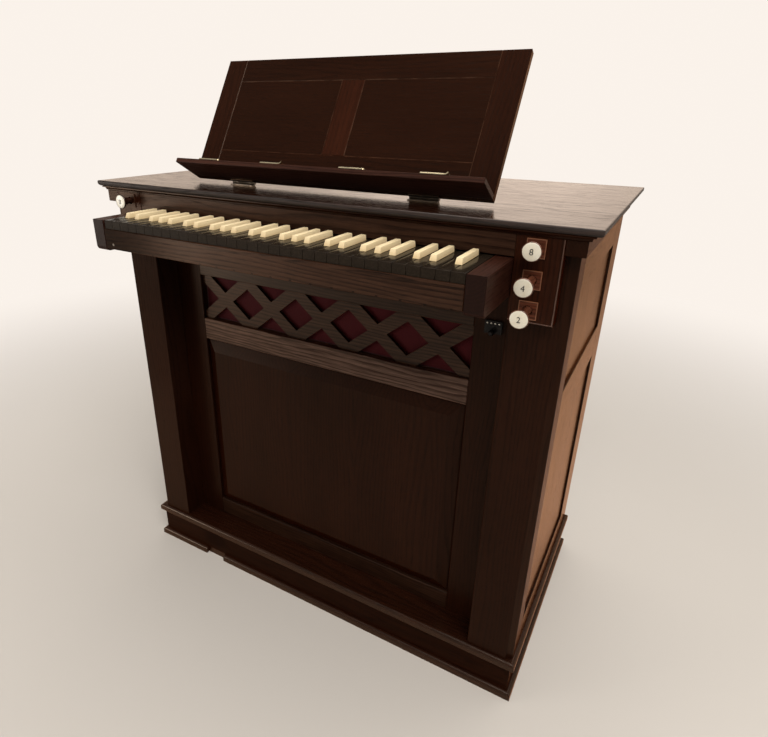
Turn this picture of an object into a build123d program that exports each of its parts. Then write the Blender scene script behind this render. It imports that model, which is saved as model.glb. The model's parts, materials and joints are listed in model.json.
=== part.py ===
from build123d import *
import math
import os

# A chest organ in oak, millimetres. +X is the player's right, -Y the keyboard side, +Z up.
# The frame's origin is on the floor, in the middle of the overall width and depth.

# Keyboard, which sets the width of everything below the lid
KEY_GROUPS = ("nsnsn", "nsnsnsn")    # naturals and sharps in the two groups of an octave
NATURALS = 33
KEY_PITCH = 23.5
KEY_GAP = 1.0
KEY_REACH = 149.0        # front of the cheeks to the fronts of the posts
NATURAL_T = 17.0
NATURAL_HEAD = 40.0
SHARP_H = 10.0
SHARP_LOW_W = 11.5
SHARP_TOP_W = 9.5
SHARP_SLOPE = 4.0
SHARP_STOP = 8.0         # back of the sharps' blocks in front of the name board
TAIL_PAST_BOARD = 6.0
BED_H = 41.0
SLIP_T = 18.0
KEY_SETBACK = 3.0
CHEEK_W = 31.0
CHEEK_DROP = 6.0
CHEEK_ROUND = 10.0
NAME_GAP = 2.0           # name board over the naturals
SIDE_RISE = 13.0         # tops of the posts and sides above the naturals
CORNICE_H = 25.0

# Case
EASE = 1.0               # broken edge of the boards
CASE_DEPTH = 555.0       # front of the posts to the back
POST_W = 98.0
POST_DEPTH = 62.0        # the front frame stands against the posts' backs
POST_EDGE_W = 21.0       # post showing outside the stop jamb
POST_CHAMFER = 13.0

# Plinth
PLINTH_H = 104.0
CAP_H = 20.0
CAP_OUT = 9.0
CAP_ROUND = 8.0
CAP_LOW_ROUND = 4.0
BEAD_H = 18.0
BEAD_OUT = 10.0
BEAD_ROUND = 8.0
BEAD_GAP_IN = 205.0      # left end of the foot bead to the middle of a missing length
BEAD_GAP_W = 62.0

# Front frame, grille and lower panel, from the plinth up to the key bed
LOW_RAIL_H = 48.0
PANEL_OPEN_H = 493.0
MID_RAIL_H = 54.0
GRILLE_H = 111.0
TOP_RAIL_H = 98.0
STILE_W = 75.0           # stile showing inside the post
FRAME_T = 22.0
LATTICE_CELLS = 5
LATTICE_BAR = 28.0
LATTICE_SINK = 8.0
LATTICE_T = 8.0
CLOTH_T = 3.0
PANEL_PROUD = 6.0        # field of the lower panel in front of the frame
PANEL_DROP = 15.0        # field to the outer edge of the bevel
PANEL_BEVEL = 30.0
PANEL_EDGE_T = 7.0

# Stop jambs and knobs
JAMB_T = 20.0
JAMB_W = 74.0
JAMB_FOOT = 22.0         # below the lowest knob
KNOB_INSET = 32.0        # from the jamb's inner edge
KNOB_DOWN = 18.5         # highest knob below the lid's moulding
KNOB_PITCH = 49.7
KNOB_OUT = 30.0          # face of a pushed-in knob in front of the jamb
KNOB_TRAVEL = 25.0
KNOB_R = 15.5
FACE_T = 4.0
CONE_T = 8.0
HEAD_BACK_R = 11.0
SHAFT_R = 7.0
SHAFT_HOLD = 14.0        # length of shaft left in the jamb when drawn
SHAFT_CLEAR = 1.0
PLATE_W = 30.0
PLATE_T = 2.0

# Side and back framing
SIDE_T = 22.0
SIDE_LOW_RAIL_H = 66.0
SIDE_MID_RAIL_H = 75.0
SIDE_OPEN_H = 190.0      # upper opening, between the middle and the top rail
SIDE_TOP_RAIL_H = 69.0
REAR_STILE_W = 100.0
BACK_STILE_W = 90.0
PANEL_RECESS = 4.5
THIN_PANEL_T = 8.0

# Cornice, moulding and lid
CORNICE_OUT = 11.0
MOULD_COVE = 5.0
MOULD_FLAT = 0.8
MOULD_LIP = 2.2
MOULD_SIDE_OUT = 10.0
LID_T = 12.0
LID_SIDE_OUT = 20.0      # over the cornice rails
LID_FRONT_OUT = 9.0      # over the name board
LID_BACK_OUT = 10.0
LID_ROUND = 2.5
LID_LOW_ROUND = 7.0

# Music desk
DESK_W = 694.0
DESK_L = 283.0
DESK_T = 14.0
DESK_LEAN = 30.8
DESK_SET = 83.0          # foot of the desk's face behind the fronts of the posts
DESK_STILE_W = 53.0
DESK_RAIL_W = 53.0
DESK_LOW_RAIL_W = 66.0
DESK_PANEL_T = 7.0
DESK_PANEL_SINK = 0.8
LEDGE_D = 66.0
LEDGE_T = 10.0
CLIP_EDGE = 91.0         # end of the ledge to the middle of the first clip
CLIP_STEP = 164.0
CLIP_L = 56.0
CLIP_W = 12.0
CLIP_T = 3.0
HINGE_EDGE = 132.0       # end of the desk to the middle of a hinge
HINGE_L = 60.0
HINGE_RISE = 5.5         # pin above the lid
HINGE_R = 4.0
LEAF_T = 2.0
LEAF_D = 11.0
LEAF_GAP = 0.5
KNUCKLE_ROOM = 1.0       # round the knuckles, in the desk's lower rail

# Catch under the right end of the keyboard
CATCH_DOWN = 90.0        # middle of the catch below the key bed
CATCH_W = 32.0
CATCH_H = 24.0
CATCH_T = 6.0
PULL_DOWN = 8.0          # axis of the pull below the catch's middle
PULL_NECK_R = 2.6
PULL_NECK_L = 3.0
PULL_R = 5.5
PULL_FLAT = 2.6          # half width of the flats that round the ball

# Widths that follow
KEYS_HALF = NATURALS * KEY_PITCH / 2
CHEEK_IN = KEYS_HALF + KEY_GAP
CHEEK_OUT = CHEEK_IN + CHEEK_W
JAMB_IN = CHEEK_OUT + KEY_GAP
JAMB_OUT = JAMB_IN + JAMB_W
HALF_W = JAMB_OUT + POST_EDGE_W
POST_IN = HALF_W - POST_W
OPEN_X = POST_IN - STILE_W
SIDE_IN = HALF_W - SIDE_T
CORNICE_X = HALF_W + CORNICE_OUT
KNOB_X = JAMB_IN + KNOB_INSET

# Heights that follow
PANEL_Z = (PLINTH_H + LOW_RAIL_H, PLINTH_H + LOW_RAIL_H + PANEL_OPEN_H)
GRILLE_Z = (PANEL_Z[1] + MID_RAIL_H, PANEL_Z[1] + MID_RAIL_H + GRILLE_H)
KEYBED_Z = GRILLE_Z[1] + TOP_RAIL_H
KEY_LOW_Z = KEYBED_Z + BED_H
KEY_TOP_Z = KEY_LOW_Z + NATURAL_T
SIDE_TOP_Z = KEY_TOP_Z + SIDE_RISE
MOULD_Z = SIDE_TOP_Z + CORNICE_H
LID_LOW_Z = MOULD_Z + MOULD_COVE + MOULD_FLAT + MOULD_LIP
LID_Z = LID_LOW_Z + LID_T
KNOB_Z = [MOULD_Z - KNOB_DOWN - KNOB_PITCH * i for i in range(3)]
JAMB_LOW_Z = KNOB_Z[-1] - JAMB_FOOT
SIDE_HIGH_Z = SIDE_TOP_Z - SIDE_TOP_RAIL_H
SIDE_MID_Z = SIDE_HIGH_Z - SIDE_OPEN_H
SIDE_RAILS = ((PLINTH_H, PLINTH_H + SIDE_LOW_RAIL_H), (SIDE_MID_Z - SIDE_MID_RAIL_H, SIDE_MID_Z),
              (SIDE_HIGH_Z, SIDE_TOP_Z))

# Depths that follow
POST_Y = -(CASE_DEPTH + LID_BACK_OUT - KEY_REACH) / 2
BACK_Y = POST_Y + CASE_DEPTH
NAME_Y = POST_Y - JAMB_T
FRAME_Y = POST_Y + POST_DEPTH
SLIP_Y = POST_Y - KEY_REACH
KEY_Y = SLIP_Y + KEY_SETBACK
PIN_Y = POST_Y + DESK_SET + DESK_T * math.cos(math.radians(DESK_LEAN))
PIN_Z = LID_Z + HINGE_RISE

# Places along the desk
DESK_HALF = DESK_W / 2
CLIP_X = [DESK_HALF - CLIP_EDGE - CLIP_STEP * i for i in range(2)]
HINGE_X = DESK_HALF - HINGE_EDGE


def board(x, y, z):
    """A plain board between three pairs of limits."""
    middle = Pos((x[0] + x[1]) / 2, (y[0] + y[1]) / 2, (z[0] + z[1]) / 2)
    return middle * Box(x[1] - x[0], y[1] - y[0], z[1] - z[0])


def eased(shape):
    """The same flat-sided piece with all its edges broken."""
    return chamfer(shape.edges(), EASE)


def both(shape):
    """The shape and its mirror image on the other side of the case."""
    return [shape, mirror(shape, about=Plane.YZ)]


def front_plane(x, y, z):
    """A drawing plane that looks at the player, its own X along +X."""
    return Plane((x, y, z), x_dir=(1, 0, 0), z_dir=(0, -1, 0))


def save(name, *solids):
    """Writes one node from one or more separate solids."""
    shape = solids[0] if len(solids) == 1 else Compound(children=list(solids))
    export_step(shape, f"parts/{name}.step")


def rounded_slab(half_x, y, z, top_round):
    """A slab with rounded upper edges all round."""
    shape = board((-half_x, half_x), y, z)
    return fillet(shape.faces().sort_by(Axis.Z)[-1].edges(), top_round)


def round_under(shape, radius):
    """The same slab with its lower edges rounded too."""
    return fillet(shape.faces().sort_by(Axis.Z)[0].edges(), radius)


def plinth():
    """Plain plinth block with a cap moulding over it and a bead round its foot."""
    cap_z = PLINTH_H - CAP_H
    save("plinth_board", eased(board((-HALF_W, HALF_W), (POST_Y, BACK_Y), (BEAD_H, cap_z))))
    cap_y = (POST_Y - CAP_OUT, BACK_Y + CAP_OUT)
    cap = rounded_slab(HALF_W + CAP_OUT, cap_y, (cap_z, PLINTH_H), CAP_ROUND)
    save("plinth_cap", round_under(cap, CAP_LOW_ROUND))
    bead_x = HALF_W + BEAD_OUT
    bead_y = (POST_Y - BEAD_OUT, BACK_Y + BEAD_OUT)
    bead = rounded_slab(bead_x, bead_y, (0, BEAD_H), BEAD_ROUND)
    gap_x = -bead_x + BEAD_GAP_IN
    gap = board((gap_x - BEAD_GAP_W / 2, gap_x + BEAD_GAP_W / 2), (bead_y[0], POST_Y), (0, BEAD_H))
    save("plinth_bead", bead - gap)


def shaft_hole(x, z):
    """The running hole of a stop shaft, from the jamb's face to past the pushed-in end."""
    length = SHAFT_HOLD + KNOB_TRAVEL + 2 * SHAFT_CLEAR
    hole = Cylinder(SHAFT_R + SHAFT_CLEAR, length, align=(Align.CENTER, Align.CENTER, Align.MIN))
    return Pos(x, NAME_Y, z) * Rot(-90, 0, 0) * hole


def posts():
    """Front posts with a chamfered outer corner and holes for the stop shafts."""
    shape = board((POST_IN, HALF_W), (POST_Y, FRAME_Y), (PLINTH_H, SIDE_TOP_Z))
    corner = shape.edges().filter_by(Axis.Z).group_by(Axis.Y)[0].sort_by(Axis.X)[-1]
    shape = eased(chamfer(corner, POST_CHAMFER))
    left = mirror(shape, about=Plane.YZ)
    save("post_left", left - shaft_hole(-KNOB_X, KNOB_Z[0]))
    for z in KNOB_Z:
        shape = shape - shaft_hole(KNOB_X, z)
    save("post_right", shape)


def lattice():
    """Crossed bars cut as one thin sheet that fills the grille opening."""
    cell = 2 * OPEN_X / LATTICE_CELLS
    lean = math.degrees(math.atan2(GRILLE_H, cell))
    bar = Rectangle(math.hypot(cell, GRILLE_H) + 2 * LATTICE_BAR, LATTICE_BAR)
    cross = Rot(0, 0, lean) * bar + Rot(0, 0, -lean) * bar
    sketch = Pos(-OPEN_X + cell / 2, 0) * cross
    for i in range(1, LATTICE_CELLS):
        sketch = sketch + Pos(-OPEN_X + cell * (i + 0.5), 0) * cross
    sketch = sketch & Rectangle(2 * OPEN_X, GRILLE_H)
    plane = front_plane(0, FRAME_Y + LATTICE_SINK, sum(GRILLE_Z) / 2)
    return extrude(plane * sketch, -LATTICE_T)


def fielded_panel():
    """Panel with a flat raised field and sloping margins."""
    width = 2 * OPEN_X
    edge = front_plane(0, FRAME_Y - PANEL_PROUD + PANEL_DROP, sum(PANEL_Z) / 2)
    outer = Rectangle(width, PANEL_OPEN_H)
    field = Rectangle(width - 2 * PANEL_BEVEL, PANEL_OPEN_H - 2 * PANEL_BEVEL)
    raised = loft([edge * outer, edge.offset(PANEL_DROP) * field])
    return raised + extrude(edge * outer, -PANEL_EDGE_T)


def front_frame():
    """Recessed front: stiles, rails, lattice over cloth, and a fielded panel."""
    y = (FRAME_Y, FRAME_Y + FRAME_T)
    save("front_stiles", *both(eased(board((OPEN_X, SIDE_IN), y, (PLINTH_H, KEYBED_Z)))))
    spans = ((PLINTH_H, PANEL_Z[0]), (PANEL_Z[1], GRILLE_Z[0]), (GRILLE_Z[1], KEYBED_Z))
    save("front_rails", *[eased(board((-OPEN_X, OPEN_X), y, span)) for span in spans])
    save("grille_lattice", lattice())
    cloth_y = FRAME_Y + LATTICE_SINK + LATTICE_T
    save("grille_cloth", board((-OPEN_X, OPEN_X), (cloth_y, cloth_y + CLOTH_T), GRILLE_Z))
    save("lower_panel", fielded_panel())


def sharp_positions():
    """Middle of every sharp, lowest first: the tails of a group share its width equally."""
    found = []
    start = 0
    while start < NATURALS:
        for group in KEY_GROUPS:
            tail = group.count("n") * KEY_PITCH / len(group)
            for place, kind in enumerate(group):
                if kind == "s":
                    found.append(start * KEY_PITCH - KEYS_HALF + (place + 0.5) * tail)
            start += group.count("n")
    return [x for x in found if x + KEY_PITCH / 2 < KEYS_HALF]


def natural(index, sharps, y):
    """One natural: a full-width head and a tail notched for the sharps beside it."""
    x0 = index * KEY_PITCH - KEYS_HALF + KEY_GAP / 2
    x1 = x0 + KEY_PITCH - KEY_GAP
    left, right = x0, x1
    reach = SHARP_LOW_W / 2 + KEY_GAP
    for x in sharps:
        if x0 < x + reach < x1:
            left = x + reach
        if x0 < x - reach < x1:
            right = x - reach
    neck = y[0] + NATURAL_HEAD
    outline = Polygon((x0, y[0]), (x1, y[0]), (x1, neck), (right, neck), (right, y[1]),
                      (left, y[1]), (left, neck), (x0, neck), align=None)
    return extrude(Pos(0, 0, KEY_LOW_Z) * outline, NATURAL_T)


def sharp(x, y):
    """One sharp: a tapering block with a steep front on its lever, which runs on under the name board."""
    front = y[0] + NATURAL_HEAD + KEY_GAP
    back = NAME_Y - SHARP_STOP
    length = back - front
    top_length = length - SHARP_SLOPE
    lever = board((x - SHARP_LOW_W / 2, x + SHARP_LOW_W / 2), (front, y[1]), (KEY_LOW_Z, KEY_TOP_Z))
    low = Pos(x, back - length / 2, KEY_TOP_Z) * Rectangle(SHARP_LOW_W, length)
    top = Pos(x, back - top_length / 2, KEY_TOP_Z + SHARP_H) * Rectangle(SHARP_TOP_W, top_length)
    return lever + loft([low, top])


def key_bed():
    """Board under the keys, wider behind the cheeks, where it fills the space between the posts."""
    front = SLIP_Y + SLIP_T
    back = FRAME_Y + FRAME_T
    outline = Polygon((-KEYS_HALF, front), (KEYS_HALF, front), (KEYS_HALF, POST_Y), (POST_IN, POST_Y),
                      (POST_IN, back), (-POST_IN, back), (-POST_IN, POST_Y), (-KEYS_HALF, POST_Y), align=None)
    return extrude(Pos(0, 0, KEYBED_Z) * outline, BED_H)


def keyboard():
    """Key bed with its slip and cheeks, the keys lying on it, and the name board over them."""
    save("key_bed", key_bed())
    slip = board((-KEYS_HALF, KEYS_HALF), (SLIP_Y, SLIP_Y + SLIP_T), (KEYBED_Z, KEY_LOW_Z))
    save("key_slip", eased(slip))
    cheek = board((CHEEK_IN, CHEEK_OUT), (SLIP_Y, POST_Y), (KEYBED_Z - CHEEK_DROP, KEY_TOP_Z))
    toe = cheek.edges().filter_by(Axis.X).group_by(Axis.Y)[0].sort_by(Axis.Z)[0]
    cheek = fillet(toe, CHEEK_ROUND)
    rims = cheek.faces().filter_by(Axis.X).edges()
    save("key_cheeks", *both(chamfer(rims, EASE)))
    key_y = (KEY_Y, POST_Y + TAIL_PAST_BOARD)
    sharps = sharp_positions()
    save("naturals", *[natural(i, sharps, key_y) for i in range(NATURALS)])
    save("sharps", *[sharp(x, key_y) for x in sharps])
    save("name_board", eased(board((-JAMB_IN, JAMB_IN), (NAME_Y, POST_Y), (KEY_TOP_Z + NAME_GAP, MOULD_Z))))


def plate(x, z):
    """Square plate round a stop shaft."""
    ring = Rectangle(PLATE_W, PLATE_W) - Circle(SHAFT_R + SHAFT_CLEAR)
    return extrude(front_plane(x, NAME_Y, z) * ring, PLATE_T)


def jambs():
    """Boards beside the keys that carry the stops, with a square plate at every shaft."""
    shape = eased(board((JAMB_IN, JAMB_OUT), (NAME_Y, POST_Y), (JAMB_LOW_Z, MOULD_Z)))
    left = mirror(shape, about=Plane.YZ) - shaft_hole(-KNOB_X, KNOB_Z[0])
    plates = [plate(-KNOB_X, KNOB_Z[0])]
    for z in KNOB_Z:
        shape = shape - shaft_hole(KNOB_X, z)
        plates.append(plate(KNOB_X, z))
    save("stop_jambs", left, shape)
    save("stop_plates", *plates)


def stop_knob(name, x, z, out):
    """Turned head and shaft with a white disc on its face."""
    head = FACE_T + CONE_T
    tail = KNOB_OUT + KNOB_TRAVEL + SHAFT_HOLD
    outline = Polygon((0, -FACE_T), (KNOB_R, -FACE_T), (HEAD_BACK_R, -head), (SHAFT_R, -head),
                      (SHAFT_R, -tail), (0, -tail), align=None)
    place = Pos(x, NAME_Y - out, z) * Rot(90, 0, 0)
    save(f"{name}_shaft", place * revolve(Plane.XZ * outline, Axis.Z))
    disc = Cylinder(KNOB_R, FACE_T, align=(Align.CENTER, Align.CENTER, Align.MAX))
    save(f"{name}_face", place * disc)


def knobs():
    """One knob at the left and three at the right; the left and the top right ones are pushed in."""
    drawn = KNOB_OUT + KNOB_TRAVEL
    stop_knob("knob_left", -KNOB_X, KNOB_Z[0], KNOB_OUT)
    stop_knob("knob_top", KNOB_X, KNOB_Z[0], KNOB_OUT)
    stop_knob("knob_middle", KNOB_X, KNOB_Z[1], drawn)
    stop_knob("knob_low", KNOB_X, KNOB_Z[2], drawn)


def sides():
    """Side framing behind the posts, with two sunk panels each side."""
    x = (SIDE_IN, HALF_W)
    rail_y = (FRAME_Y, BACK_Y - REAR_STILE_W)
    save("side_stiles", *both(eased(board(x, (rail_y[1], BACK_Y), (PLINTH_H, SIDE_TOP_Z)))))
    rails = []
    for span in SIDE_RAILS:
        rails += both(eased(board(x, rail_y, span)))
    save("side_rails", *rails)
    panel_x = (HALF_W - PANEL_RECESS - THIN_PANEL_T, HALF_W - PANEL_RECESS)
    panels = []
    for low, high in zip(SIDE_RAILS[:-1], SIDE_RAILS[1:]):
        panels += both(board(panel_x, rail_y, (low[1], high[0])))
    save("side_panels", *panels)


def back():
    """Back framing between the side stiles, with two sunk panels."""
    y = (BACK_Y - SIDE_T, BACK_Y)
    rail_x = SIDE_IN - BACK_STILE_W
    save("back_stiles", *both(eased(board((rail_x, SIDE_IN), y, (PLINTH_H, SIDE_TOP_Z)))))
    save("back_rails", *[eased(board((-rail_x, rail_x), y, span)) for span in SIDE_RAILS])
    panel_y = (BACK_Y - PANEL_RECESS - THIN_PANEL_T, BACK_Y - PANEL_RECESS)
    panels = []
    for low, high in zip(SIDE_RAILS[:-1], SIDE_RAILS[1:]):
        panels.append(board((-rail_x, rail_x), panel_y, (low[1], high[0])))
    save("back_panels", *panels)


def cornice():
    """Rails on top of the side and back framing that carry the lid."""
    z = (SIDE_TOP_Z, MOULD_Z)
    rails = both(eased(board((JAMB_OUT, CORNICE_X), (NAME_Y, BACK_Y), z)))
    rails.append(eased(board((-JAMB_OUT, JAMB_OUT), (BACK_Y - SIDE_T, BACK_Y), z)))
    save("cornice_rails", *rails)


def lid():
    """Lid board over a moulding with a cove all round."""
    step = MOULD_COVE + MOULD_FLAT
    half = CORNICE_X + MOULD_SIDE_OUT
    block = board((step - half, half - step), (NAME_Y, BACK_Y), (MOULD_Z, LID_LOW_Z - MOULD_LIP))
    lip = board((-half, half), (NAME_Y - step, BACK_Y + step), (LID_LOW_Z - MOULD_LIP, LID_LOW_Z))
    moulding = block + lip
    inner = moulding.edges().filter_by_position(Axis.Z, block.bounding_box().max.Z, block.bounding_box().max.Z)
    coves = [edge for edge in inner if abs(edge.center().X) < half - MOULD_FLAT]
    coves = [edge for edge in coves if NAME_Y - MOULD_FLAT < edge.center().Y < BACK_Y + MOULD_FLAT]
    save("lid_moulding", fillet(coves, MOULD_COVE))
    lid_y = (NAME_Y - LID_FRONT_OUT, BACK_Y + LID_BACK_OUT)
    top = rounded_slab(CORNICE_X + LID_SIDE_OUT, lid_y, (LID_LOW_Z, LID_Z), LID_ROUND)
    save("lid", round_under(top, LID_LOW_ROUND))


def desk_place():
    """Frame of the desk: origin on the hinge pin, local Z up the desk, local -Y towards the player."""
    return Pos(0, PIN_Y, PIN_Z) * Rot(-DESK_LEAN, 0, 0)


def pin_rod(x, length, radius):
    """A cylinder along the hinge line."""
    return Pos(x, PIN_Y, PIN_Z) * Rot(0, 90, 0) * Cylinder(radius, length)


def desk():
    """Framed music desk with a ledge and page clips."""
    place = desk_place()
    y = (-DESK_T, 0)
    opening_x = DESK_HALF - DESK_STILE_W
    opening_z = (DESK_LOW_RAIL_W, DESK_L - DESK_RAIL_W)
    stile = eased(board((opening_x, DESK_HALF), y, (0, DESK_L)))
    muntin = eased(board((-DESK_STILE_W / 2, DESK_STILE_W / 2), y, opening_z))
    save("desk_stiles", *[place * s for s in both(stile) + [muntin]])
    low_rail = place * eased(board((-opening_x, opening_x), y, (0, opening_z[0])))
    for x in (-HINGE_X, HINGE_X):
        low_rail = low_rail - pin_rod(x, HINGE_L + 2 * KNUCKLE_ROOM, HINGE_R + KNUCKLE_ROOM)
    top_rail = eased(board((-opening_x, opening_x), y, (opening_z[1], DESK_L)))
    save("desk_rails", low_rail, place * top_rail)
    panel_y = (DESK_PANEL_SINK - DESK_T, DESK_PANEL_SINK - DESK_T + DESK_PANEL_T)
    panel = board((DESK_STILE_W / 2, opening_x), panel_y, opening_z)
    save("desk_panels", *[place * s for s in both(panel)])
    ledge_y = -DESK_T - LEDGE_D
    ledge = board((-DESK_HALF, DESK_HALF), (ledge_y, -DESK_T), (0, LEDGE_T))
    save("desk_ledge", place * eased(ledge))
    clips = []
    for x in CLIP_X:
        clip = board((x - CLIP_L / 2, x + CLIP_L / 2), (ledge_y, ledge_y + CLIP_W), (LEDGE_T, LEDGE_T + CLIP_T))
        clips += [place * s for s in both(clip)]
    save("desk_clips", *clips)


def hinge(x):
    """One butt hinge: the lid's leaf with its end knuckles, the desk's leaf with the middle one."""
    third = HINGE_L / 3
    span = (x - HINGE_L / 2, x + HINGE_L / 2)
    on_lid = board(span, (PIN_Y - LEAF_D, PIN_Y), (LID_Z, LID_Z + LEAF_T))
    on_lid = on_lid - pin_rod(x, third + LEAF_GAP, HINGE_R + LEAF_GAP)
    on_desk = desk_place() * board(span, (-LEAF_D, 0), (-LEAF_T, 0))
    for end in (x - third, x + third):
        on_lid = on_lid + pin_rod(end, third - LEAF_GAP, HINGE_R)
        on_desk = on_desk - pin_rod(end, third + LEAF_GAP, HINGE_R + LEAF_GAP)
    return on_lid, on_desk + pin_rod(x, third - LEAF_GAP, HINGE_R)


def hinges():
    """Butt hinges between the lid and the foot of the desk."""
    pairs = [hinge(x) for x in (-HINGE_X, HINGE_X)]
    save("hinges_lid", *[pair[0] for pair in pairs])
    save("hinges_desk", *[pair[1] for pair in pairs])


def catch():
    """Small catch with a turned pull, on the right stile under the keyboard."""
    x = OPEN_X + STILE_W / 2
    z = KEYBED_Z - CATCH_DOWN
    half = CATCH_W / 2
    body = board((x - half, x + half), (FRAME_Y - CATCH_T, FRAME_Y), (z - CATCH_H / 2, z + CATCH_H / 2))
    middle = PULL_NECK_L + PULL_R
    outline = Polygon((0, 0), (PULL_NECK_R, 0), (PULL_NECK_R, PULL_NECK_L), (PULL_R, middle - PULL_FLAT),
                      (PULL_R, middle + PULL_FLAT), (PULL_FLAT, middle + PULL_R), (0, middle + PULL_R), align=None)
    pull = revolve(Plane.XZ * outline, Axis.Z)
    save("catch", body + Pos(x, FRAME_Y - CATCH_T, z - PULL_DOWN) * Rot(90, 0, 0) * pull)


os.makedirs("parts", exist_ok=True)
plinth()
posts()
front_frame()
keyboard()
jambs()
knobs()
sides()
back()
cornice()
lid()
desk()
hinges()
catch()
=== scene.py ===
"""Dresses the solids of an oak chest organ with its keys, stops, cloth, small metalwork and finishes."""
import json
import math

import bmesh
import bpy
import numpy as np
from bpy.props import FloatProperty, FloatVectorProperty, IntProperty, PointerProperty
from mathutils import Matrix, Vector


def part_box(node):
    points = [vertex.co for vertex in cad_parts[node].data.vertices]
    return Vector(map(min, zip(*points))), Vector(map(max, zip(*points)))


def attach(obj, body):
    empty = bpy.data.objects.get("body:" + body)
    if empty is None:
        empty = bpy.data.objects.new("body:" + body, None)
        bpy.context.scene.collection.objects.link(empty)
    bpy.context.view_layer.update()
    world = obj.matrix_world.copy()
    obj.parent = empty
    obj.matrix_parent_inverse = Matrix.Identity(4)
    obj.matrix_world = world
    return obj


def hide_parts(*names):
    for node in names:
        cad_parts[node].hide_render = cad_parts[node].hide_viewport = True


bl_info = {
    "name": "Chest Organ",
    "version": (1, 0, 0),
    "blender": (4, 5, 0),
    "location": "3D View > Sidebar > Organ",
    "description": "Keys, stops, cloth, metalwork and oak finishes for a chest organ",
    "category": "Object",
}

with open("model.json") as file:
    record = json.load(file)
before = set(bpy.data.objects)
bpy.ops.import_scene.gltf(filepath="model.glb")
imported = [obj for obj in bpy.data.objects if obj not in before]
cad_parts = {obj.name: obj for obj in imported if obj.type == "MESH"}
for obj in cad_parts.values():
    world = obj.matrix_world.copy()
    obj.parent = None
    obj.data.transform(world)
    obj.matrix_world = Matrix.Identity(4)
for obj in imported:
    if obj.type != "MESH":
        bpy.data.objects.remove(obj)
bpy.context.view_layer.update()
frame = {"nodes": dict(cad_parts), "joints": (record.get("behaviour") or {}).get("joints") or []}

NODES = frame["nodes"]
MM = 0.001
DESK_LEAN = math.radians(30.8)
DESK_JOINT = next(j for j in frame["joints"] if j["name"] == "desk_fold")
DESK_PIN = Vector(DESK_JOINT["pos_m"])
DESK_PLACE = Matrix.Translation(DESK_PIN) @ Matrix.Rotation(-DESK_LEAN, 4, "X")
STOPS = (("knob_left", "8"), ("knob_top", "8"), ("knob_middle", "4"), ("knob_low", "2"))
KEY_GAP = 1.0 * MM          # between neighbouring naturals
SHARP_HALF = 5.75 * MM      # half of a sharp's width at its foot
CLIPS = ((-0.256, False), (-0.092, True), (0.092, False), (0.256, True))    # place along the desk, curled or not
# Each lamp's setting of power, its place, what it aims at and its size
LAMPS = (("key", (1.5, -1.9, 3.5), (0.0, -0.1, 0.5), (2.2, 1.8)),
         ("fill", (-2.9, -2.4, 0.8), (0.0, -0.1, 0.7), (1.6, 1.3)),
         ("top", (0.3, 1.0, 3.6), (0.0, 0.2, 0.0), (3.0, 3.0)))
TAN = (1.0, 0.838, 0.682)       # tint of the varnish on the sides
CLEAR = (1.0, 0.96, 0.925)      # tint of the varnish on the lid, cheeks, ledge and beads


# Sizes and colours that a user would change

def colour(name, description, default):
    return FloatVectorProperty(name=name, description=description, default=default, size=3, min=0.0, max=1.0,
                               subtype="COLOR")


def length(name, description, default):
    return FloatProperty(name=name, description=description, default=default, min=0.0, unit="LENGTH")


def factor(name, description, default):
    return FloatProperty(name=name, description=description, default=default, min=0.0, max=1.0, subtype="FACTOR")


class OrganWood(bpy.types.PropertyGroup):
    """Stained oak of the case"""
    dark: colour("Dark stain", "Colour of the early wood of each year", (0.0042, 0.0012, 0.0006))
    light: colour("Light stain", "Colour of the late wood of each year", (0.0180, 0.0056, 0.0025))
    red: colour("Red stain", "Late wood of the stop jambs", (0.033, 0.0088, 0.0038))
    grey: colour("Grey stain", "Late wood of the front rails, lattice, slip and name board", (0.042, 0.0195, 0.0115))
    amber: colour("Amber", "Tint of the varnish", (1.0, 0.82, 0.68))
    ring: length("Year ring", "Width of a year's growth", 0.0062)
    satin: factor("Satin", "Roughness of the varnish on the case", 0.3)
    polish: factor("Polish", "Roughness of the polished lid", 0.13)


class OrganKeys(bpy.types.PropertyGroup):
    """Black naturals and pale sharps"""
    count: IntProperty(name="Naturals", description="Number of natural keys", default=33, min=1)
    ebony: colour("Ebony", "Colour of the naturals", (0.0105, 0.0074, 0.0050))
    bone: colour("Bone", "Colour of the sharps", (0.74, 0.60, 0.37))
    ease: length("Eased edge", "Rounding of a natural's upper edges", 0.0014)
    crown: length("Crown", "Rounding of a sharp's upper edges", 0.0009)


class OrganStops(bpy.types.PropertyGroup):
    """Stop knobs"""
    disc: colour("Disc", "Colour of the white face", (0.60, 0.56, 0.465))
    ink: colour("Figure", "Colour of the figure on the face", (0.012, 0.011, 0.010))
    figure: length("Figure height", "Height of the figure on the face", 0.010)
    dome: length("Dome", "Rise of the face at its middle", 0.0009)
    rim: length("Rim", "Width of the turned rim round the face", 0.0008)


class OrganCloth(bpy.types.PropertyGroup):
    """Cloth behind the grille"""
    red: colour("Red", "Colour of the cloth", (0.050, 0.0030, 0.0046))
    thread: length("Thread", "Spacing of the threads", 0.0011)
    thick: length("Thickness", "Thickness of the cloth", 0.0008)
    slack: length("Slack", "Depth of the cloth's unevenness", 0.0004)


class OrganMetal(bpy.types.PropertyGroup):
    """Clips, hinges and catch"""
    brass: colour("Brass", "Colour of the page clips", (0.74, 0.62, 0.40))
    bronze: colour("Bronze", "Colour of the hinges", (0.20, 0.165, 0.13))
    black: colour("Black", "Colour of the catch", (0.0065, 0.0058, 0.0054))


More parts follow.
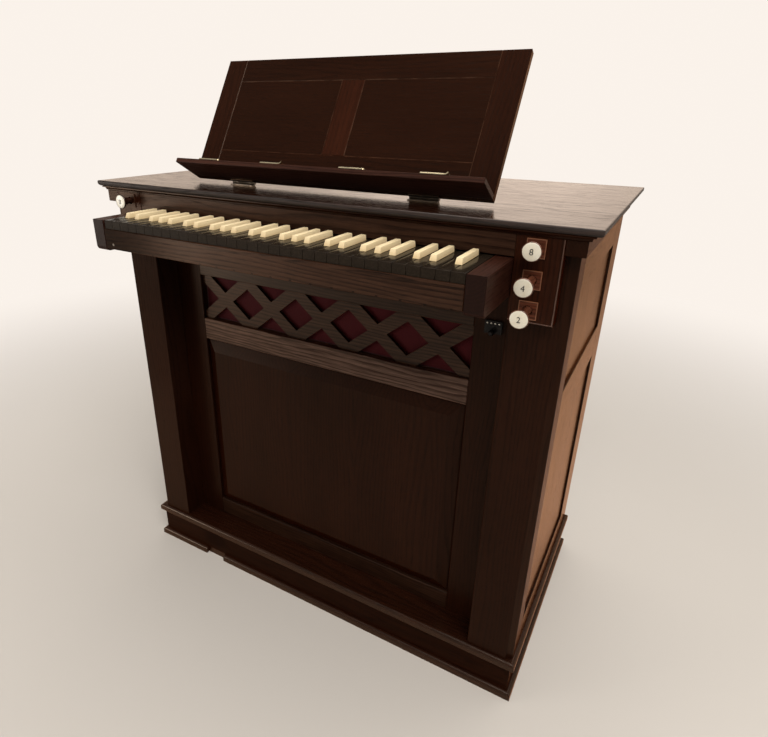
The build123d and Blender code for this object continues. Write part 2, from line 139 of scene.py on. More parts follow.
class OrganStage(bpy.types.PropertyGroup):
    """Floor, light and camera"""
    floor: colour("Floor", "Colour of the floor", (0.55, 0.515, 0.475))
    wall: colour("Wall", "Colour of the wall and the far floor as they are seen", (0.96, 0.89, 0.825))
    radius: length("Room", "Radius of the wall round the floor", 5.2)
    sky: FloatProperty(name="Sky", description="Strength of the even light", default=0.42, min=0.0)
    key: FloatProperty(name="Key", description="Power of the large lamp", default=130.0, min=0.0, unit="POWER")
    fill: FloatProperty(name="Fill", description="Power of the second lamp", default=55.0, min=0.0, unit="POWER")
    top: FloatProperty(name="Top", description="Power of the overhead lamp", default=70.0, min=0.0, unit="POWER")
    eye: FloatVectorProperty(name="Eye", description="Where the camera stands", size=3,
                             default=(0.63936, -1.11243, 1.17672), subtype="XYZ", unit="LENGTH")
    heading: FloatProperty(name="Heading", description="Camera's turn to the left of +Y",
                           default=math.radians(30.06), subtype="ANGLE")
    pitch: FloatProperty(name="Pitch", description="Camera's tilt below the horizon",
                         default=math.radians(23.32), subtype="ANGLE")
    roll: FloatProperty(name="Roll", description="Camera's roll", default=math.radians(-0.55), subtype="ANGLE")
    lens: FloatProperty(name="Lens", description="Focal length on a 36 mm sensor", default=26.51)
    shift: FloatVectorProperty(name="Shift", description="Shift of the lens", size=2, default=(0.0429, -0.0186))


# Shapes

def ring_quads(rows, columns, closed):
    """Quads between neighbouring rows and columns of a grid of points, round the columns where closed."""
    row = np.arange(rows - 1)[:, None]
    column = np.arange(columns if closed else columns - 1)[None, :]
    after = (column + 1) % columns
    corners = (row * columns + column, row * columns + after, (row + 1) * columns + after, (row + 1) * columns + column)
    return np.stack(np.broadcast_arrays(*corners), axis=-1).reshape(-1, 4)


def repeated(grids, closed):
    """Points and quads of many like grids: grids has the shape (copies, rows, columns, 3)."""
    copies, rows, columns = grids.shape[:3]
    quads = ring_quads(rows, columns, closed)
    shift = (np.arange(copies) * rows * columns)[:, None, None]
    return grids.reshape(-1, 3), (quads[None] + shift).reshape(-1, 4)


def capped(rings):
    """Rings of points with one more ring at each end, drawn in to the end's middle."""
    ends = [np.broadcast_to(rings[i].mean(axis=0), rings[i].shape)[None] for i in (0, -1)]
    return np.concatenate((ends[0], rings, ends[1]))


def added(mesh, body, finish):
    """Links a finished mesh as a piece that rides on a body."""
    mesh.materials.clear()
    mesh.materials.append(finish)
    obj = bpy.data.objects.new(mesh.name, mesh)
    bpy.context.scene.collection.objects.link(obj)
    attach(obj, body)
    return obj


def smooth(mesh):
    mesh.polygons.foreach_set("use_smooth", np.ones(len(mesh.polygons), dtype=bool))


def piece(name, shells, body, finish, sharp=38.0, place=None):
    """One closed mesh object from (points, quads) shells, doubled points merged and faces turned outwards."""
    starts = np.cumsum([0] + [len(points) for points, _ in shells[:-1]])
    points = np.concatenate([points for points, _ in shells])
    quads = np.concatenate([quads + start for (_, quads), start in zip(shells, starts)])
    mesh = bpy.data.meshes.new(name)
    mesh.from_pydata(points.tolist(), [], quads.tolist())
    work = bmesh.new()
    work.from_mesh(mesh)
    bmesh.ops.remove_doubles(work, verts=work.verts, dist=2e-6)
    bmesh.ops.dissolve_degenerate(work, edges=work.edges, dist=1e-7)
    bmesh.ops.recalc_face_normals(work, faces=work.faces)
    work.to_mesh(mesh)
    work.free()
    if place is not None:
        mesh.transform(place)
    smooth(mesh)
    mesh.set_sharp_from_angle(angle=math.radians(sharp))
    return added(mesh, body, finish)


def turned(profile, centre, axis, sides):
    """A profile of (radius, height) pairs carried round an axis through centre: radius times the cosine and
    sine of the turn across the axis, height along it."""
    profile = np.asarray(profile, dtype=float)
    along = np.asarray(axis, dtype=float) / np.linalg.norm(axis)
    across = np.cross(along, (0.0, 0.0, 1.0) if abs(along[2]) < 0.9 else (1.0, 0.0, 0.0))
    across /= np.linalg.norm(across)
    beside = np.cross(along, across)
    turn = np.linspace(0.0, 2.0 * math.pi, sides, endpoint=False)
    wheel = np.cos(turn)[:, None] * across + np.sin(turn)[:, None] * beside
    grid = profile[:, 0, None, None] * wheel[None] + profile[:, 1, None, None] * along + np.asarray(centre)
    return grid.reshape(-1, 3), ring_quads(len(profile), sides, True)


def swept(section, path):
    """A closed section of (sideways, outward) pairs carried along a path of points that lies in a plane
    facing -Y, mitred at the bends: each point is moved sideways along the mitre and outward along -Y."""
    section = np.asarray(section, dtype=float)
    path = np.asarray(path, dtype=float)
    steps = np.diff(path, axis=0)
    steps /= np.linalg.norm(steps, axis=1, keepdims=True)
    outward = np.array((0.0, -1.0, 0.0))
    sides = np.cross(steps, outward)
    before = np.concatenate((sides[:1], sides))
    after = np.concatenate((sides, sides[-1:]))
    mitre = (before + after) / (1.0 + np.sum(before * after, axis=1, keepdims=True))
    rings = path[:, None] + section[None, :, 0, None] * mitre[:, None] + section[None, :, 1, None] * outward
    rings = capped(rings)
    return rings.reshape(-1, 3), ring_quads(len(rings), len(section), True)


def quarter(steps):
    """Sine and cosine of equal steps of a quarter turn."""
    turn = np.linspace(0.0, math.pi / 2, steps)
    return np.sin(turn), np.cos(turn)


def key_row(keys):
    """Where the row of naturals starts, and the distance from one to the next."""
    low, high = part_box("naturals")
    return low.x, (high.x - low.x + KEY_GAP) / keys.count


def sharp_middles(keys):
    """Middle of every sharp: the tails of a group of naturals and sharps share the group's width equally."""
    start, pitch = key_row(keys)
    start -= KEY_GAP / 2
    found = []
    first = 0
    while first < keys.count:
        for group in ("nsnsn", "nsnsnsn"):
            tail = group.count("n") * pitch / len(group)
            found += [start + first * pitch + (i + 0.5) * tail for i, kind in enumerate(group) if kind == "s"]
            first += group.count("n")
    return [x for x in found if x + pitch / 2 < start + keys.count * pitch]


# Finishes

def maths(operation, reflected=False):
    """A method that joins a field and another value with a Math node."""
    def method(self, other=0.0):
        first, second = (other, self) if reflected else (self, other)
        return self.finish.add("ShaderNodeMath", {"operation": operation}, {0: first, 1: second})
    return method


class Field:
    """A socket of a finish; arithmetic on it adds Math nodes to that finish."""

    def __init__(self, finish, socket):
        self.finish = finish
        self.socket = socket

    __add__, __radd__ = maths("ADD"), maths("ADD", True)
    __sub__, __rsub__ = maths("SUBTRACT"), maths("SUBTRACT", True)
    __mul__, __rmul__ = maths("MULTIPLY"), maths("MULTIPLY", True)
    __truediv__, __rtruediv__ = maths("DIVIDE"), maths("DIVIDE", True)
    __pow__ = maths("POWER")
    least, most, over = maths("MINIMUM"), maths("MAXIMUM"), maths("GREATER_THAN")
    wrapped, folded = maths("FRACT"), maths("PINGPONG")
    size, root, sine = maths("ABSOLUTE"), maths("SQRT"), maths("SINE")

    def step(self, low, high):
        """A smooth step from 0 at low to 1 at high."""
        return self.finish.add("ShaderNodeMapRange", {"interpolation_type": "SMOOTHSTEP"},
                               {"Value": self, "From Min": low, "From Max": high})


class Finish:
    """A procedural material on one Principled shader."""

    def __init__(self, name):
        self.material = bpy.data.materials.new(name)
        self.material.use_nodes = True
        self.tree = self.material.node_tree
        self.shader = self.tree.nodes["Principled BSDF"]
        self.place = self.add("ShaderNodeTexCoord", output="Object")

    def add(self, kind, settings=None, sockets=None, output=0):
        """Adds a node: its settings first, then its sockets' values or links; gives one output."""
        node = self.tree.nodes.new(kind)
        for key, value in (settings or {}).items():
            setattr(node, key, value)
        for key, value in (sockets or {}).items():
            self.feed(node.inputs[key], value)
        return Field(self, node.outputs[output])

    def feed(self, socket, value):
        if isinstance(value, Field):
            self.tree.links.new(value.socket, socket)
        else:
            socket.default_value = value

    def set(self, **sockets):
        """Sets or links sockets of the shader, named with underscores for spaces."""
        for key, value in sockets.items():
            self.feed(self.shader.inputs[key.replace("_", " ")], value)

    def moved(self, vector, turn=(0, 0, 0), shift=(0, 0, 0), scale=(1, 1, 1)):
        return self.add("ShaderNodeMapping", None,
                        {"Vector": vector, "Rotation": turn, "Location": shift, "Scale": scale})

    def split(self, vector):
        node = self.add("ShaderNodeSeparateXYZ", None, {0: vector}).socket.node
        return [Field(self, node.outputs[i]) for i in range(3)]

    def noise(self, vector, scale=1.0, detail=2.0, roughness=0.5):
        return self.add("ShaderNodeTexNoise", {"noise_dimensions": "3D"},
                        {"Vector": vector, "Scale": scale, "Detail": detail, "Roughness": roughness})

    def mix(self, share, first, second):
        return self.add("ShaderNodeMix", {"data_type": "RGBA"}, {0: share, 6: opaque(first), 7: opaque(second)}, 2)

    def times(self, share, base, by):
        """A colour, multiplied by another as far as share says."""
        return self.add("ShaderNodeMix", {"data_type": "RGBA", "blend_type": "MULTIPLY"},
                        {0: share, 6: base, 7: opaque(by)}, 2)

    def mix_vector(self, share, first, second):
        return self.add("ShaderNodeMix", {"data_type": "VECTOR"}, {0: share, 4: first, 5: second}, 1)

    def bump(self, height, strength, distance):
        return self.add("ShaderNodeBump", None, {"Strength": strength, "Distance": distance, "Height": height})


def opaque(value):
    return value if isinstance(value, Field) else (*value, 1.0)


def dark_oak(name, grain="X", late=None, rough=None, seed=0.0, turn=0.0, ends=None, contrast=0.4, gloss=1.18,
             amber=None, relief=0.2, wave=1.0, streak=0.12, patch=None, dull=None):
    """Stained oak as a solid log: rings about a pith that runs along the grain, bent by slow noise, with dark
    dashes of pores crowded into the early wood. turn leans the grain about X, and ends is the distance from the
    middle past which it runs along Y. gloss is the varnish's refractive index and amber the tint of its clear coat.
    wave bends the rings and streak dulls the dashes more or less; patch changes the colour and dull adds roughness
    in places."""
    wood = bpy.context.scene.organ_wood
    amber = tuple(amber or wood.amber)
    late = tuple(c / a for c, a in zip(late or wood.light, amber))
    dark = tuple(c / a for c, a in zip(wood.dark, amber))
    rough = wood.satin if rough is None else rough
    turns = {"X": (0.0, 0.0, 0.0), "Y": (0.0, 0.0, -math.pi / 2), "Z": (0.0, math.pi / 2, 0.0)}
    f = Finish(name)
    place = f.moved(f.place, turn=(turn, 0.0, 0.0)) if turn else f.place
    at = f.moved(place, turn=turns[grain])
    if ends is not None:
        x = f.split(place)[0]
        at = f.mix_vector(x.size().over(ends), at, f.moved(place, turn=turns["Y"]))
    at = f.moved(at, shift=(seed * 0.37, seed * 0.053, 0.0))
    _, across, deep = f.split(at)
    slow = f.noise(f.moved(at, scale=(1.9, 8.0, 8.0)), 1.0, 1.0) - 0.5
    wavy = f.noise(f.moved(at, scale=(8.0, 55.0, 55.0)), 1.0, 2.0) - 0.5
    fold = (across + 0.031 + seed * 0.017).folded(0.115)
    back = (deep + 0.0137 + seed * 0.011).folded(0.09) + 0.024
    radius = (fold * fold + back * back).root() + slow * 0.046 + wavy * (0.0045 * wave)
    year = (radius / wood.ring).wrapped()
    early = (1.0 - year.step(0.08, 0.6)) * year.step(0.0, 0.05)
    fibre = f.noise(f.moved(at, scale=(12.0, 230.0, 230.0)), 1.0, 3.0, 0.65)
    broad = f.noise(f.moved(at, scale=(2.2, 9.0, 9.0), shift=(3.1, 1.7, 0.4)), 1.0, 2.0)
    dash = f.noise(f.moved(at, scale=(24.0, 430.0, 430.0)), 1.0, 1.0).step(0.50, 0.66) * (early * 0.7 + 0.3)
    pore = f.noise(f.moved(at, scale=(60.0, 1350.0, 1350.0)), 1.0, 0.0).step(0.52, 0.64) * (early * 0.6 + 0.4)
    tone = 0.62 + (fibre - 0.5) * (1.5 * contrast) - early * (0.55 * contrast) + (broad - 0.5) * 0.8
    base = f.mix(tone.most(0.0).least(1.0), dark, late)
    base = f.mix(dash * (0.75 * contrast), base, tuple(0.6 * c for c in dark))
    base = f.mix(pore * 0.5, base, tuple(0.4 * c for c in dark))
    if patch is not None:
        base = patch(f, base)
    shine = rough + dash * streak + pore * 0.08 + (broad - 0.5) * 0.10 + (fibre - 0.4).most(0.0) * streak
    if dull is not None:
        shine = shine + dull(f)
    height = (1.0 - pore) * 0.3 + (1.0 - dash) * 0.5 + (1.0 - early) * 0.3
    f.set(Base_Color=base, Roughness=shine, Normal=f.bump(height, relief, 0.0003), IOR=gloss,
          Coat_Weight=1.0, Coat_IOR=1.02, Coat_Roughness=0.2, Coat_Tint=(*amber, 1.0))
    return f.material


def slip_notch_and_end_shade(f, base):
    """Small notches at even steps along the lower edge of the key slip, painted as dark shade, on wood with painted
    shade towards its left end.
    """
    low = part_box("key_slip")[0]
    x, y, z = f.split(f.place)
    step, start = 41.5 * MM, 9.0 * MM
    near = (((x - low.x + start) / step).wrapped() - 0.5).size() * step
    wobble = f.noise(f.place, 160.0, 1.0) - 0.5
    # painted shade: dark marks where the small notches lie in shade
    cut = (1.0 - (near + wobble * 0.003).step(1.6 * MM, 2.6 * MM)) * (1.0 - (z - low.z).step(2.6 * MM, 3.8 * MM))
    # painted shade darkens the slip towards its left end
    base = f.times(slip_end_shade_and_dull(f), base, (0.25, 0.22, 0.2))
    return f.mix(cut * (1.0 - (y - low.y).step(1.5 * MM, 2.5 * MM)), base, (0.0012, 0.0008, 0.0006))


def slip_end_shade_and_dull(f):
    """Share of painted shade and of added roughness on the key slip, which grows towards its left end."""
    x = f.split(f.place)[0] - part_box("key_slip")[0].x
    return 1.0 - x.step(20.0 * MM, 260.0 * MM)


def slip_dull(f):
    """Roughness that the slip's left end has more than the rest."""
    return slip_end_shade_and_dull(f) * 0.5


def post_dull(f):
    """Roughness that the left post has more towards its top."""
    x, _, z = f.split(f.place)
    return (1.0 - x.over(0.0)) * z.step(0.3, 0.6) * 0.4


def rail_glare(f, base):
    """The rail under the grille is paler and greyer than the others: a painted reflection of glare."""
    foot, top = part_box("lower_panel")[1].z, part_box("grille_lattice")[0].z
    blend = 3.0 * MM
    z = f.split(f.place)[2]
    middle = z.step(foot - blend, foot) * (1.0 - z.step(top, top + blend))
    # painted reflection lightens and greys the rail under the grille
    return f.times(middle, base, (4.0, 5.2, 6.6))


def cheek_ends(f, base):
    """End grain at the cheeks' fronts has drunk more stain."""
    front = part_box("key_cheeks")[0].y
    y = f.split(f.place)[1]
    return f.mix((1.0 - (y - front).step(0.3 * MM, 1.6 * MM)) * 0.7, base, (0.0045, 0.0016, 0.0009))


def lid_edges(f):
    """Roughness that the lid's edges have more than its top."""
    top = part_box("lid")[1].z
    return (1.0 - f.split(f.place)[2].step(top - 1.2 * MM, top - 0.2 * MM)) * 0.55


def left_stop_shade(f, base):
    """The wood of the stop on the left is darker: painted shade."""
    x = f.split(f.place)[0]
    return f.times(1.0 - x.over(0.0), base, (0.22, 0.21, 0.21))


def plate_rim_highlights(f, base):
    """Edges of the square plates are painted pale as highlights; the left stop's plate also gets painted shade."""
    low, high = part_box("knob_low_face")
    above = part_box("knob_middle_face")[0].z - low.z
    x, _, z = f.split(f.place)
    middle = (low + high) / 2
    beside = (x.size() - middle.x).size()
    level = (((z - middle.z) / above + 0.5).wrapped() - 0.5).size() * above
    inner, outer = 13.2 * MM, 14.4 * MM
    # painted highlight: a pale line round each plate's edges
    base = f.mix(beside.most(level).step(inner, outer) * 0.7, base, (0.20, 0.12, 0.085))
    return left_stop_shade(f, base)


def desk_lines(f, base):
    """Fine pale lines of filler along the joints between the desk's frame and panels."""
    local = f.moved(f.moved(f.place, shift=-DESK_PIN), turn=(DESK_LEAN, 0.0, 0.0))
    x, _, z = f.split(local)
    side = x.size()
    frame_x, muntin_x, low_z, high_z = 294.0 * MM, 26.5 * MM, 66.0 * MM, 230.0 * MM
    upright = (side - frame_x).size().least((side - muntin_x).size() + z.over(high_z) + (1.0 - z.over(low_z)))
    level = (z - low_z).size().least((z - high_z).size()) + side.over(frame_x)
    patchy = f.noise(f.place, 45.0, 2.0).step(0.3, 0.7)
    line = (1.0 - upright.least(level).step(0.5 * MM, 1.2 * MM)) * (0.08 + patchy * 0.42)
    return f.mix(line, base, (0.085, 0.055, 0.042))


def muntin_tone(f, base):
    """The desk's muntin is redder than its stiles, in a soft cloud; then come the joint lines."""
    x = f.split(f.place)[0]
    middle = (1.0 - x.size().step(60.0 * MM, 80.0 * MM)) * (0.55 + f.noise(f.place, 22.0, 2.0) * 0.9).least(1.0)
    return desk_lines(f, f.times(middle, base, (1.5, 1.38, 1.34)))


def plinth_dark_patch(f, base):
    """A dark patch on the plinth's board above the missing length of bead."""
    x, _, z = f.split(f.place)
    cloud = f.noise(f.place, 38.0, 3.0)
    middle_x, middle_z, half_x, half_z = -0.318, 0.052, 0.052, 0.026
    far = (((x - middle_x) / half_x) ** 2.0 + ((z - middle_z) / half_z) ** 2.0).root()
    patchy = 1.0 - (far + (cloud - 0.5) * 0.9).step(0.6, 1.1)
    return f.mix(patchy * 0.75, base, (0.0040, 0.0008, 0.0004))


def ebony_finish():
    """Polished black wood: fine grain along the key, a breath of dust and soft scratches, and dull fronts."""
    keys = bpy.context.scene.organ_keys
    f = Finish("ebony")
    grain = f.noise(f.moved(f.place, scale=(420.0, 7.0, 420.0)), 1.0, 2.0)
    smudge = f.noise(f.place, 31.0, 3.0)
    scratch = f.noise(f.moved(f.place, turn=(0.0, 0.0, 0.5), scale=(900.0, 30.0, 900.0)), 1.0, 1.0).step(0.66, 0.74)
    base = f.mix(grain.step(0.4, 0.8), tuple(keys.ebony), tuple(1.9 * c for c in keys.ebony))
    front = 1.0 - (f.split(f.place)[1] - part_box("naturals")[0].y).step(0.3 * MM, 1.5 * MM)
    shine = 0.10 + smudge * 0.12 + scratch * 0.08 + front * 0.45
    f.set(Base_Color=base, Roughness=shine, Normal=f.bump(grain, 0.01, 0.0002), IOR=1.16,
          Specular_Tint=(1.0, 0.84, 0.68, 1.0))
    return f.material


def bone_finish():
    """Aged bone: faint long streaks, warmer towards the lower edges, with tiny dark pores."""
    keys = bpy.context.scene.organ_keys
    f = Finish("bone")
    z = f.split(f.place)[2]
    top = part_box("sharps")[1].z
    streak = f.noise(f.moved(f.place, scale=(420.0, 16.0, 420.0)), 1.0, 2.0)
    cloud = f.noise(f.place, 26.0, 2.0)
    speck = f.noise(f.moved(f.place, scale=(1500.0, 260.0, 1500.0)), 1.0, 0.0).step(0.70, 0.76)
    aged = (top - z).step(0.001, 0.012)
    bone = tuple(keys.bone)
    warm = (bone[0] * 0.74, bone[1] * 0.62, bone[2] * 0.45)
    base = f.mix((aged * 0.6 + (cloud - 0.5) * 0.5 + (streak - 0.5) * 0.4).most(0.0).least(1.0), bone, warm)
    base = f.mix(speck * 0.35, base, (0.25, 0.16, 0.08))
    f.set(Base_Color=base, Roughness=0.24 + streak * 0.16, Normal=f.bump(streak, 0.05, 0.0002))
    return f.material


def disc_finish():
    """Polished white disc with faint yellowed clouding and a few brownish flecks."""
    stops = bpy.context.scene.organ_stops
    f = Finish("white_disc")
    cloud = f.noise(f.place, 95.0, 3.0)
    fleck = f.noise(f.place, 900.0, 1.0).step(0.66, 0.74)
    disc = tuple(stops.disc)
    base = f.mix(cloud.step(0.4, 0.8) * 0.5, disc, (disc[0] * 0.9, disc[1] * 0.84, disc[2] * 0.7))
    base = f.mix(fleck * 0.2, base, (0.4, 0.32, 0.2))
    f.set(Base_Color=base, Roughness=0.2 + cloud * 0.14, Normal=f.bump(cloud, 0.03, 0.0003))
    return f.material


def ink_finish():
    """Dull black fill of the figures."""
    stops = bpy.context.scene.organ_stops
    f = Finish("figure_black")
    mottle = f.noise(f.place, 700.0, 2.0)
    ink = tuple(stops.ink)
    f.set(Base_Color=f.mix(mottle, ink, tuple(2.2 * c for c in ink)), Roughness=0.42 + mottle * 0.2)
    return f.material


def cloth_finish():
    """Plain weave: warp and weft as crossed sine ridges, each hidden under the other by turns."""
    cloth = bpy.context.scene.organ_cloth
    f = Finish("red_cloth")
    x, _, z = f.split(f.place)
    slub = f.noise(f.moved(f.place, scale=(60.0, 1.0, 900.0)), 1.0, 2.0)
    warp = (x * (math.pi / cloth.thread)).sine()
    weft = (z * (math.pi / cloth.thread)).sine()
    over = (warp * weft).step(-0.6, 0.6)
    ridge = (warp * warp) * over + (weft * weft) * (1.0 - over)
    fade = f.noise(f.place, 14.0, 2.0)
    red = tuple(cloth.red)
    base = f.mix((ridge * 0.7 + slub * 0.4).least(1.0), tuple(0.45 * c for c in red), red)
    base = f.mix(fade.step(0.45, 0.85) * 0.35, base, (red[0] * 0.6, red[1] * 0.9, red[2] * 0.8))
    f.set(Base_Color=base, Roughness=0.82 + slub * 0.12, Normal=f.bump(ridge, 0.5, 0.0003),
          Sheen_Weight=0.05, Sheen_Roughness=0.5, Specular_IOR_Level=0.1)
    return f.material


def metal_finish(name, tint, metallic, rough, tarnish, patchy, gloss=1.5):
    """Metal with fine rubbing along X, cloudy tarnish and a few dull spots."""
    f = Finish(name)
    cloud = f.noise(f.place, 65.0, 4.0, 0.6)
    rub = f.noise(f.moved(f.place, scale=(40.0, 1600.0, 1600.0)), 1.0, 1.0)
    spot = f.noise(f.place, 420.0, 2.0).step(0.62, 0.72)
    dull = (cloud.step(0.42, 0.75) * patchy + spot * 0.35).least(1.0)
    base = f.mix(dull, tint, tarnish)
    shine = rough + dull * 0.22 + (rub - 0.5) * 0.12
    f.set(Base_Color=base, Roughness=shine, Metallic=metallic, Normal=f.bump(rub, 0.06, 0.0001), IOR=gloss)
    return f.material


def dress(material, *nodes):
    """Gives CAD nodes a finish through their objects' material slots."""
    for node in nodes:
        NODES[node].material_slots[0].material = material


# Pieces

class ORGAN_OT_oak(bpy.types.Operator):
    """Finish the case, lid and desk in stained oak with the grain along each board"""
    bl_idname = "organ.oak"
    bl_label = "Oak of the case"

    def execute(self, context):
        wood = context.scene.organ_wood
        grey = tuple(wood.grey)
        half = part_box("plinth_board")[1].x - 1.5 * MM
        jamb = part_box("stop_jambs")[1].x - 0.5 * MM
        side = dict(rough=0.17, gloss=1.34, amber=TAN)
        desk = dict(rough=0.2, turn=DESK_LEAN)
        # Name of the finish, its grain and seed, the nodes that take it, and how it departs from plain case oak
        boards = (
            ("rails", "X", 1.0, "front_rails",
             dict(late=tuple(0.55 * c for c in grey), contrast=1.3, gloss=1.3, wave=2.2, patch=rail_glare)),
            ("back_rails", "X", 1.6, "back_rails", {}),
            ("lattice", "X", 2.3, "grille_lattice", dict(late=grey, contrast=1.1, gloss=1.3, wave=1.6)),
            ("slip", "X", 3.1, "key_slip key_bed",
             dict(late=grey, contrast=0.8, gloss=1.24, patch=slip_notch_and_end_shade, dull=slip_dull)),
            ("name", "X", 4.7, "name_board", dict(late=grey, contrast=0.55)),
            ("posts", "Z", 5.2, "post_left post_right", dict(dull=post_dull)),
            ("stiles", "Z", 6.9, "front_stiles back_stiles", {}),
            ("panels", "Z", 7.4, "lower_panel back_panels", {}),
            ("side_panels", "Z", 7.9, "side_panels", dict(side, relief=0.05)),
            ("side_stiles", "Z", 6.1, "side_stiles", dict(side, relief=0.06)),
            ("side_rails", "Y", 8.8, "side_rails", dict(side, relief=0.06)),
            ("cheeks", "Y", 8.2, "key_cheeks",
             dict(late=(0.040, 0.0130, 0.0080), rough=0.5, amber=CLEAR, patch=cheek_ends)),
            ("cornice", "X", 9.1, "cornice_rails", dict(ends=jamb)),
            ("plinth", "X", 10.6, "plinth_board", dict(ends=half, gloss=1.1, patch=plinth_dark_patch)),
            ("plinth_trim", "X", 11.3, "plinth_cap plinth_bead",
             dict(late=tuple(1.3 * c for c in wood.light), rough=0.24, ends=half, gloss=1.4)),
            ("jambs", "Z", 12.7, "stop_jambs", dict(late=tuple(wood.red))),
            ("lid", "X", 13.5, "lid", dict(rough=wood.polish, contrast=0.9, gloss=1.5, amber=CLEAR, relief=0.12,
                                           streak=0.3, dull=lid_edges)),
            ("moulding", "X", 14.2, "lid_moulding", dict(rough=0.2)),
            ("plates", "X", 15.8, "stop_plates", dict(late=(0.105, 0.032, 0.017), patch=plate_rim_highlights)),
            ("desk_rails", "X", 16.1, "desk_rails", dict(desk, contrast=0.3, patch=desk_lines)),
            # painted light: the ledge's wood is paler than the desk's so that its shaded face looks lit
            ("desk_ledge", "X", 16.6, "desk_ledge",
             dict(late=(0.054, 0.0215, 0.0145), turn=DESK_LEAN, amber=CLEAR)),
            ("desk_stiles", "Z", 17.7, "desk_stiles",
             dict(desk, late=(0.022, 0.0066, 0.0031), contrast=0.25, patch=muntin_tone)),
            ("desk_panels", "X", 18.4, "desk_panels", dict(desk, contrast=0.25, patch=desk_lines)),
        )
        for name, grain, seed, nodes, own in boards:
            dress(dark_oak(f"oak_{name}", grain, seed=seed, **own), *nodes.split())
        return {"FINISHED"}


class ORGAN_OT_naturals(bpy.types.Operator):
    """Black naturals with eased upper edges, notched beside the sharps"""
    bl_idname = "organ.naturals"
    bl_label = "Naturals"

    def execute(self, context):
        """Rings of eight corners round each key's outline, head and tail; the upper rings draw in by one minus
        the cosine while they rise by the sine of a quarter turn."""
        low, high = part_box("naturals")
        keys = context.scene.organ_keys
        start, pitch = key_row(keys)
        left = start + pitch * np.arange(keys.count)
        right = left + pitch - KEY_GAP
        tail_left, tail_right = left.copy(), right.copy()
        reach = SHARP_HALF + KEY_GAP
        for x in sharp_middles(keys):
            tail_left = np.where((left < x + reach) & (x + reach < right), x + reach, tail_left)
            tail_right = np.where((left < x - reach) & (x - reach < right), x - reach, tail_right)
        head_l = 40.0 * MM
        neck = low.y + head_l
        sine, cosine = quarter(5)
        inset = np.concatenate(((0.0,), keys.ease * (1.0 - cosine)))
        height = np.concatenate(((low.z,), high.z - keys.ease * (1.0 - sine)))
        d = inset[None, :]
        x0, x1 = left[:, None] + d, right[:, None] - d
        t0, t1 = tail_left[:, None] + d, tail_right[:, None] - d
        xs = np.stack((x0, x1, x1, t1, t1, t0, t0, x0), axis=-1)
        front, step, back = (np.broadcast_to(y, x0.shape) for y in (low.y + d, neck - d, high.y - d))
        ys = np.stack((front, front, step, step, back, back, step, step), axis=-1)
        zs = np.broadcast_to(height[None, :, None], xs.shape)
        rings = np.stack((xs, ys, zs), axis=-1)
        hub = 3.0 * MM      # in front of the neck, from where all corners can be seen
        middle = np.stack(((tail_left + tail_right) / 2, np.full(keys.count, neck - hub)), axis=-1)
        caps = [np.concatenate((middle, np.full((keys.count, 1), z)), axis=1) for z in (low.z, high.z)]
        caps = [np.repeat(cap[:, None, None, :], xs.shape[-1], axis=2) for cap in caps]
        grids = np.concatenate((caps[0], rings, caps[1]), axis=1)
        keys_piece = piece("natural_keys", [repeated(grids, True)], "case", ebony_finish(), sharp=34.0)
        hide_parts("naturals")
        return {"FINISHED"}


class ORGAN_OT_sharps(bpy.types.Operator):
    """Pale blocks of the sharps with steep fronts and eased upper edges, on dark levers"""
    bl_idname = "organ.sharps"
    bl_label = "Sharps"

    def execute(self, context):
        low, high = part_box("sharps")
        keys = context.scene.organ_keys
        middles = np.array(sharp_middles(keys))
        stop, top_half, slope, lever_ease = 8.0 * MM, 4.75 * MM, 4.0 * MM, 0.4 * MM
        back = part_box("name_board")[0].y - stop
        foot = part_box("naturals")[1].z
        blocks = self.blocks(middles, (low.y, back), (foot, high.z), (SHARP_HALF, top_half), slope, keys.crown)
        sharps = piece("sharp_blocks", [blocks], "case", bone_finish(), sharp=34.0)
        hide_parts("sharps")
        levers = self.blocks(middles, (low.y, high.y), (low.z, foot), (SHARP_HALF, SHARP_HALF), 0.0, lever_ease)
        piece("sharp_levers", [levers], "case", ebony_finish(), sharp=34.0)
        return {"FINISHED"}

    def blocks(self, middles, y, z, halves, slope, ease):
        """Rings of four corners up each block: the width and the front draw in evenly with height, and the
        last rings also draw in by one minus the cosine while they rise by the sine of a quarter turn."""
        sine, cosine = quarter(5)
        height = np.concatenate(((z[0],), z[1] - ease * (1.0 - sine)))
        inset = np.concatenate(((0.0,), ease * (1.0 - cosine)))
        share = (height - z[0]) / (z[1] - z[0])
        half = halves[0] + (halves[1] - halves[0]) * share - inset
        front = y[0] + slope * share + inset
        rear = y[1] - inset
        xs = np.stack((-half, half, half, -half), axis=-1)
        ys = np.stack((front, front, rear, rear), axis=-1)
        zs = np.broadcast_to(height[:, None], xs.shape)
        rings = capped(np.stack((xs, ys, zs), axis=-1))
        places = np.stack((middles, 0.0 * middles, 0.0 * middles), axis=-1)
        return repeated(rings[None] + places[:, None, None], True)


